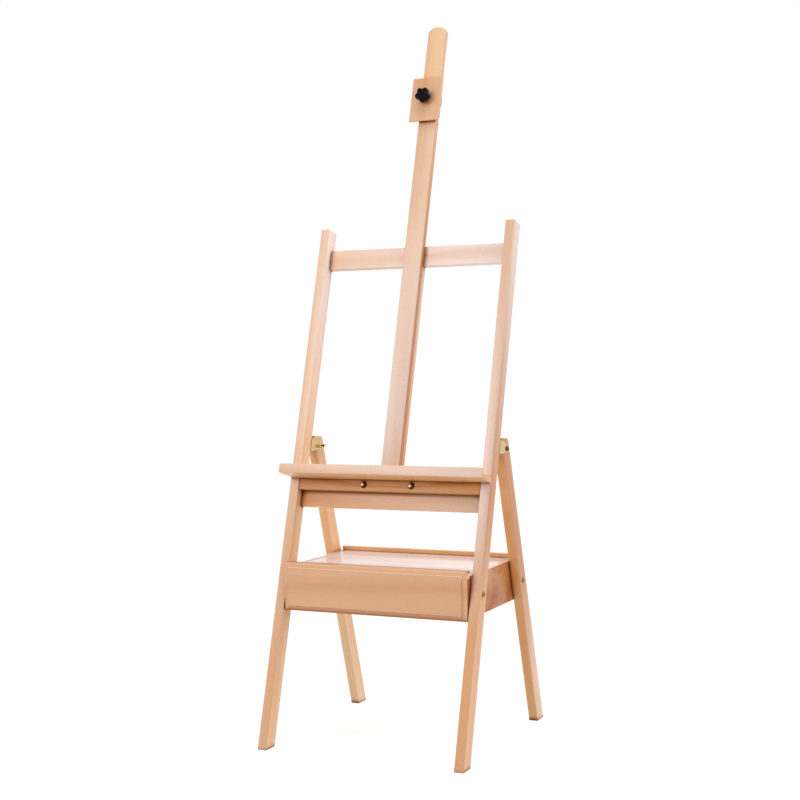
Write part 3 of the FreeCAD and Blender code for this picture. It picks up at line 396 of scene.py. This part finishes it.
# each board is the CAD shape with its edges eased by sandpaper
boards = {
    "left_stile": beechLeft, "right_stile": beechRight, "center_post": beechPost,
    "upper_crossbar": beechCrossbar, "lower_rail": beechRail,
    "sliding_mast": beechMast, "clamp_block": beechBlock,
    "ledge_lip": beechLip, "ledge_floor": beechLedge, "ledge_apron": beechApron,
    "ledge_clamp_bar": beechAcross,
    "left_rear_leg": beechLeftLeg, "right_rear_leg": beechRightLeg,
    "case_left_side": beechSidesDeepAndShaded, "case_right_side": beechSidesDeepAndShaded, "case_top": beechTop,
    "case_bottom": birchPly, "case_back": beechAcross, "gallery_strip": beechGallery,
    "left_drawer_runner": beechDepth, "right_drawer_runner": beechDepth,
    "drawer_front": beechDrawer, "drawer_left_side": beechDepth, "drawer_right_side": beechDepth,
    "drawer_back": beechAcross, "drawer_bottom": birchPly,
}
easing = {"width": 0.0016, "segments": 3, "smooth": 35, "crisp": 15}
finerEasing = {"drawer_bottom": 0.0003, "case_bottom": 0.0003, "drawer_front": 0.0009}

for node, material in boards.items():
    copy = nodes[node].copy()
    copy.data = nodes[node].data.copy()
    bpy.context.scene.collection.objects.link(copy)
    copy.parent = None
    for key in list(copy.keys()):
        if key.startswith("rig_"):
            del copy[key]
    onlySelect(copy)
    bpy.ops.object.mode_set(mode="EDIT")
    bpy.ops.mesh.select_all(action="SELECT")
    bpy.ops.mesh.remove_doubles(threshold=0.000002)
    bpy.ops.mesh.dissolve_limited(angle_limit=math.radians(0.5))
    bpy.ops.mesh.normals_make_consistent(inside=False)
    bpy.ops.object.mode_set(mode="OBJECT")
    bevel = copy.modifiers.new("easedEdges", "BEVEL")
    bevel.width = finerEasing.get(node, easing["width"])
    bevel.segments = easing["segments"]
    bevel.limit_method = "ANGLE"
    bevel.angle_limit = math.radians(30)
    bevel.use_clamp_overlap = True
    bpy.ops.object.modifier_apply(modifier=bevel.name)
    piece = settlePiece(copy, node + "_wood", bodyOf[node], material, (node,))
    onlySelect(piece)
    # the drawer's bevel meets its border in a crisp line
    smoothed = easing["crisp"] if node == "drawer_front" else easing["smooth"]
    bpy.ops.object.shade_smooth_by_angle(angle=math.radians(smoothed))
print("boards eased:", len(boards))

# star knob: five broad lobes, a rounded rim and a shallow dish in its face
knobSettings = {"lobes": 5, "reach": 19.6, "valley": 0.66, "rim": 2.2, "dish": 2.4, "step": 2.6, "floor": 3.0,
                "neck": 7.0, "neckRadius": 8.0}
knobAxisPoint = Vector(joints["knob_turn"]["pos_m"])
depths = [(vertex.co - knobAxisPoint).dot(frameBack) for vertex in nodes["star_knob"].data.vertices]
knobFront, knobBack = min(depths), max(depths)
neckLength = knobSettings["neck"] * mm
bodyThick = knobBack - knobFront - neckLength
bpy.ops.object.select_all(action="DESELECT")
lobeTurn = 360 / knobSettings["lobes"]
bpy.ops.mesh.primitive_cylinder_add(vertices=4 * knobSettings["lobes"], radius=knobSettings["reach"] * mm,
                                    depth=bodyThick)
knob = bpy.context.object
bpy.ops.object.mode_set(mode="EDIT")
bpy.ops.mesh.select_all(action="DESELECT")
mesh = bmesh.from_edit_mesh(knob.data)
for vertex in mesh.verts:
    # a lobe points straight down, and the valleys lie halfway between lobes
    turned = (math.degrees(math.atan2(vertex.co.y, vertex.co.x)) + 90) % lobeTurn
    vertex.select = abs(turned - lobeTurn / 2) < 1
mesh.select_flush_mode()
bmesh.update_edit_mesh(knob.data)
bpy.ops.transform.resize(value=(knobSettings["valley"], knobSettings["valley"], 1),
                         center_override=(0, 0, 0))
bpy.ops.mesh.select_all(action="DESELECT")
mesh = bmesh.from_edit_mesh(knob.data)
for face in mesh.faces:
    face.select = abs(face.normal.z) > 0.9 and len(face.verts) > 6
bmesh.update_edit_mesh(knob.data)
bpy.ops.mesh.inset(thickness=knobSettings["rim"] * mm, use_individual=True)
bpy.ops.mesh.select_all(action="DESELECT")
mesh = bmesh.from_edit_mesh(knob.data)
for face in mesh.faces:
    face.select = face.normal.z > 0.9 and len(face.verts) > 6
bmesh.update_edit_mesh(knob.data)
bpy.ops.mesh.inset(thickness=knobSettings["step"] * mm)
bpy.ops.transform.translate(value=(0, 0, -knobSettings["dish"] * 0.55 * mm))
bpy.ops.mesh.inset(thickness=knobSettings["floor"] * mm)
bpy.ops.transform.translate(value=(0, 0, -knobSettings["dish"] * 0.35 * mm))
bpy.ops.mesh.poke(offset=-knobSettings["dish"] * 0.1 * mm)
bpy.ops.mesh.select_all(action="DESELECT")
mesh = bmesh.from_edit_mesh(knob.data)
for face in mesh.faces:
    face.select = face.normal.z < -0.9 and len(face.verts) > 6
bmesh.update_edit_mesh(knob.data)
bpy.ops.mesh.poke()
bpy.ops.object.mode_set(mode="OBJECT")
smooth = knob.modifiers.new("rounded", "SUBSURF")
smooth.levels = 3
smooth.render_levels = 3
bpy.ops.object.modifier_apply(modifier=smooth.name)
bpy.ops.mesh.primitive_cylinder_add(vertices=48, radius=knobSettings["neckRadius"] * mm,
                                    depth=neckLength + 1 * mm,
                                    location=(0, 0, -(bodyThick + neckLength) / 2))
neck = bpy.context.object
onlySelect(neck)
knob.select_set(True)
bpy.context.view_layer.objects.active = knob
bpy.ops.object.join()
knob.rotation_mode = "QUATERNION"
knob.rotation_quaternion = (-frameBack).to_track_quat("Z", "Y")
knob.location = knobAxisPoint + frameBack * (knobFront + bodyThick / 2)
settlePiece(knob, "star_knob_moulding", "knob", blackPlastic, ("star_knob",))
onlySelect(knob)
bpy.ops.object.shade_smooth_by_angle(angle=math.radians(50))
print("knob modelled")


def startPiece(sides, radius, depth, place=(0, 0, 0)):
    bpy.ops.object.select_all(action="DESELECT")
    bpy.ops.mesh.primitive_cylinder_add(vertices=sides, radius=radius, depth=depth, location=place)
    return bpy.context.object


def joinPieces(first, *others):
    bpy.ops.object.select_all(action="DESELECT")
    for obj in (first,) + others:
        obj.select_set(True)
    bpy.context.view_layer.objects.active = first
    bpy.ops.object.join()
    return first


def along(node, axis):
    # where a CAD node starts and ends along an axis, and the middle of its cross-section
    points = [Vector(vertex.co) for vertex in nodes[node].data.vertices]
    reach = [point.dot(axis) for point in points]
    flat = [point - axis * step for point, step in zip(points, reach)]
    middle = Vector([(min(p[i] for p in flat) + max(p[i] for p in flat)) / 2 for i in range(3)])
    return min(reach), max(reach), middle - axis * middle.dot(axis)


# button-head bolts: a low dome with a hexagon socket and a turned rim;
# the ledge pair is plain and bronzed
boltSettings = {
    "rim": 0.9, "dome": 3.4, "steps": 5, "socket": 4.6, "socketDepth": 2.4, "shank": 2.95, "edge": 0.25,
    "heads": {"ledge": 8.2, "front": 6.5, "rear": 6.5, "cross": 6.5},
}
bolts = {"left_ledge_bolt": -frameBack, "right_ledge_bolt": -frameBack,
         "left_front_bolt": -right, "right_front_bolt": right,
         "left_rear_bolt": -right, "right_rear_bolt": right,
         "left_cross_bolt": -right, "right_cross_bolt": right}
for node, outward in bolts.items():
    kind = node.split("_")[1]
    radius = boltSettings["heads"][kind] * mm
    low, high, middle = along(node, outward)
    headHeight = (boltSettings["rim"] + boltSettings["dome"]) * mm
    shankLength = high - low - headHeight
    bolt = startPiece(48, radius, boltSettings["rim"] * mm, (0, 0, boltSettings["rim"] * mm / 2))
    bpy.ops.object.mode_set(mode="EDIT")
    for step in range(boltSettings["steps"]):
        # each ring of the dome is pulled up and in along a quarter ellipse
        start = math.pi / 2 * step / boltSettings["steps"]
        end = math.pi / 2 * (step + 0.9) / boltSettings["steps"]
        rise = (math.sin(end) - math.sin(start)) * boltSettings["dome"] * mm
        pull = math.cos(end) / math.cos(start)
        selectFaces(bolt, lambda face: face.normal.z > 0.9 and len(face.verts) > 6)
        bpy.ops.mesh.extrude_region_move(TRANSFORM_OT_translate={"value": (0, 0, rise)})
        bpy.ops.transform.resize(value=(pull, pull, 1), center_override=(0, 0, 0))
    bpy.ops.object.mode_set(mode="OBJECT")
    if kind != "ledge":
        socketReach = boltSettings["socket"] / 2 / math.cos(math.pi / 6) * mm
        socket = startPiece(6, socketReach, boltSettings["socketDepth"] * mm * 2, (0, 0, headHeight))
        carve = bolt.modifiers.new("socket", "BOOLEAN")
        carve.operation = "DIFFERENCE"
        carve.object = socket
        onlySelect(bolt)
        bpy.ops.object.modifier_apply(modifier=carve.name)
        bpy.data.objects.remove(socket, do_unlink=True)
    onlySelect(bolt)
    edge = bolt.modifiers.new("turnedEdge", "BEVEL")
    edge.width = boltSettings["edge"] * mm
    edge.segments = 2
    edge.limit_method = "ANGLE"
    edge.angle_limit = math.radians(40)
    bpy.ops.object.modifier_apply(modifier=edge.name)
    shank = startPiece(32, boltSettings["shank"] * mm, shankLength, (0, 0, -shankLength / 2))
    bpy.ops.object.mode_set(mode="EDIT")
    selectFaces(shank, lambda face: face.normal.z < -0.9)
    bpy.ops.mesh.inset(thickness=0.8 * mm)
    bpy.ops.transform.translate(value=(0, 0, -0.3 * mm))
    bpy.ops.object.mode_set(mode="OBJECT")
    joinPieces(bolt, shank)
    bolt.rotation_mode = "QUATERNION"
    bolt.rotation_quaternion = outward.to_track_quat("Z", "Y")
    bolt.location = middle + outward * (high - headHeight)
    metal = {"ledge": bronzeDome, "cross": agedBrass}.get(kind, brassDome)
    settlePiece(bolt, node + "_turned", bodyOf[node], metal, (node,))
    bpy.ops.object.shade_smooth_by_angle(angle=math.radians(35))
print("bolts modelled:", len(bolts))

# cast wing nuts: a tapered hub and two rounded wings that lean outwards
wingSettings = {"hub": 5.6, "hubTop": 4.5, "length": 7.0, "wing": 7.2, "wingThick": 2.2, "splay": 24,
                "reach": 8.2, "lift": 1.8}
wingNuts = {"mast_wing_nut": (frameBack, right), "left_ledge_wing_nut": (frameBack, right),
            "right_ledge_wing_nut": (frameBack, right),
            "left_cross_wing_nut": (right, None), "right_cross_wing_nut": (-right, None)}
nutLength = wingSettings["length"] * mm
for node, (outward, spread) in wingNuts.items():
    low, high, middle = along(node, outward)
    if spread is None:
        # the wings lie along the direction in which the CAD nut is widest
        points = [Vector(vertex.co) for vertex in nodes[node].data.vertices]
        arms = [point - middle - outward * point.dot(outward) for point in points]
        spread = max(arms, key=lambda arm: arm.length).normalized()
    hub = startPiece(40, wingSettings["hub"] * mm, nutLength, (0, 0, nutLength / 2))
    bpy.ops.object.mode_set(mode="EDIT")
    selectFaces(hub, lambda face: face.normal.z > 0.9)
    taper = wingSettings["hubTop"] / wingSettings["hub"]
    bpy.ops.transform.resize(value=(taper, taper, 1), center_override=(0, 0, 0))
    bpy.ops.mesh.inset(thickness=1.4 * mm)
    bpy.ops.mesh.extrude_region_move(TRANSFORM_OT_translate={"value": (0, 0, -1.2 * mm)})
    bpy.ops.object.mode_set(mode="OBJECT")
    rounding = hub.modifiers.new("castEdge", "BEVEL")
    rounding.width = 0.5 * mm
    rounding.segments = 3
    rounding.limit_method = "ANGLE"
    rounding.angle_limit = math.radians(40)
    onlySelect(hub)
    bpy.ops.object.modifier_apply(modifier=rounding.name)
    wings = []
    for way in (-1, 1):
        wing = startPiece(20, wingSettings["wing"] * mm, wingSettings["wingThick"] * mm)
        bpy.ops.object.mode_set(mode="EDIT")
        bpy.ops.mesh.select_all(action="SELECT")
        bpy.ops.transform.resize(value=(0.78, 1.0, 1), center_override=(0, 0, 0))
        bpy.ops.transform.rotate(value=math.radians(90), orient_axis="X", center_override=(0, 0, 0))
        bpy.ops.transform.rotate(value=math.radians(-wingSettings["splay"] * way), orient_axis="Y",
                                 center_override=(0, 0, 0))
        bpy.ops.mesh.select_all(action="DESELECT")
        selectFaces(wing, lambda face: abs(face.normal.y) > 0.9)
        bpy.ops.mesh.inset(thickness=1.5 * mm)
        bpy.ops.transform.resize(value=(1, 1.25, 1), center_override=(0, 0, 0))
        bpy.ops.object.mode_set(mode="OBJECT")
        soften = wing.modifiers.new("castWing", "SUBSURF")
        soften.levels = 2
        soften.render_levels = 2
        onlySelect(wing)
        bpy.ops.object.modifier_apply(modifier=soften.name)
        wing.location = (way * wingSettings["reach"] * mm, 0, nutLength + wingSettings["lift"] * mm)
        bpy.ops.object.transform_apply(location=True, rotation=True, scale=True)
        wings.append(wing)
    nut = joinPieces(hub, *wings)
    turnTo = Matrix((spread, outward.cross(spread), outward)).transposed()
    nut.rotation_mode = "QUATERNION"
    nut.rotation_quaternion = turnTo.to_quaternion()
    nut.location = middle + outward * low
    settlePiece(nut, node + "_cast", bodyOf[node], brassPlate, (node,))
    bpy.ops.object.shade_smooth_by_angle(angle=math.radians(40))
print("wing nuts modelled:", len(wingNuts))

# the rest of the metal keeps its CAD shape
modelled = set(boards) | set(bolts) | set(wingNuts) | {"star_knob"}
for node, obj in nodes.items():
    if node in modelled:
        continue
    if node == "knob_stud":
        material = zincSteel
    elif "bolt" in node:
        material = brassDome
    else:
        material = brassPlate
    obj.data.materials.clear()
    obj.data.materials.append(material)
print("hardware finished")



def backdropShare(tree):
    # 1 where the eye, a reflection or clear glass looks straight at the backdrop, 0 where it only lights
    path = addNode(tree, "LightPath")
    seen = addNode(tree, "Math", {"operation": "MAXIMUM"}, _0=path.outputs["Is Camera Ray"],
                   _1=path.outputs["Is Glossy Ray"])
    share = addNode(tree, "Math", {"operation": "MAXIMUM"}, _0=seen.outputs[0],
                    _1=path.outputs["Is Transmission Ray"])
    return share.outputs[0]


# a pale floor that reads white and keeps the soft shadow
bpy.ops.object.select_all(action="DESELECT")
bpy.ops.mesh.primitive_plane_add(size=60, location=(0, 0, -0.0003))
floor = bpy.context.object
floor.name = "floor"
floorMaterial, tree = newMaterial("paleStudioFloor")
matt = addNode(tree, "BsdfDiffuse", Color=(0.72, 0.70, 0.68, 1))
paler = addNode(tree, "BsdfDiffuse", Color=(0.25, 0.25, 0.25, 1))
glow = addNode(tree, "Emission", Color=(1, 1, 1, 1), Strength=0.84)
both = addNode(tree, "AddShader", _0=paler.outputs[0], _1=glow.outputs[0])
mix = addNode(tree, "MixShader", _0=backdropShare(tree), _1=matt.outputs[0], _2=both.outputs[0])
addNode(tree, "OutputMaterial", Surface=mix.outputs[0])
floor.data.materials.append(floorMaterial)

# the studio's walls: white to look at, a warm dim fill to be lit by
world = bpy.data.worlds.new("studio")
bpy.context.scene.world = world
world.use_nodes = True
tree = world.node_tree
tree.nodes.clear()
fill = addNode(tree, "Background", Color=(1, 0.96, 0.91, 1), Strength=0.42)
white = addNode(tree, "Background", Color=(1, 1, 1, 1), Strength=1.0)
mix = addNode(tree, "MixShader", _0=backdropShare(tree), _1=fill.outputs[0], _2=white.outputs[0])
addNode(tree, "OutputWorld", Surface=mix.outputs[0])

# soft suns: from is the direction the light comes from
lamps = {
    "side": {"from": (0.80, 0.05, 0.40), "strength": 1.20, "softness": 50, "tint": "#fffcf8"},
    "top": {"from": (0.05, 0.08, 0.99), "strength": 1.25, "softness": 50, "tint": "#fffdfb"},
}
for name, settings in lamps.items():
    data = bpy.data.lights.new(name, "SUN")
    data.energy = settings["strength"]
    data.angle = math.radians(settings["softness"])
    data.color = hexToLinear(settings["tint"])[:3]
    lamp = bpy.data.objects.new(name, data)
    lamp.rotation_euler = (-Vector(settings["from"])).to_track_quat("-Z", "Y").to_euler()
    bpy.context.scene.collection.objects.link(lamp)

# the key is a square softbox in front, to the left and above;
# its sheen lies on the middle of the leaning fronts
softbox = {"aim": (0.05, 0.0, 0.85), "from": (-0.456, -0.753, 0.472), "away": 2.8, "size": 1.5,
           "power": 23.5}
data = bpy.data.lights.new("softbox", "AREA")
data.shape = "SQUARE"
data.size = softbox["size"]
data.energy = softbox["power"]
lamp = bpy.data.objects.new("softbox", data)
lamp.location = Vector(softbox["aim"]) + Vector(softbox["from"]).normalized() * softbox["away"]
lamp.rotation_euler = (-Vector(softbox["from"])).to_track_quat("-Z", "Y").to_euler()
bpy.context.scene.collection.objects.link(lamp)

# angles in degrees, lens in mm
cameraSettings = {"place": (1.4932, -3.2097, 0.9374), "turn": 25.01, "down": 2.07, "roll": -0.96,
                  "lens": 65.95}
cameraData = bpy.data.cameras.new("camera")
cameraData.sensor_width = 36.0
cameraData.lens = cameraSettings["lens"]
camera = bpy.data.objects.new("camera", cameraData)
camera.matrix_world = (
    Matrix.Translation(cameraSettings["place"])
    @ Matrix.Rotation(math.radians(cameraSettings["turn"]), 4, "Z")
    @ Matrix.Rotation(math.radians(90 - cameraSettings["down"]), 4, "X")
    @ Matrix.Rotation(math.radians(cameraSettings["roll"]), 4, "Z")
)
bpy.context.scene.collection.objects.link(camera)
bpy.context.scene.camera = camera
bpy.context.scene.view_settings.view_transform = "Standard"

print("scene ready")
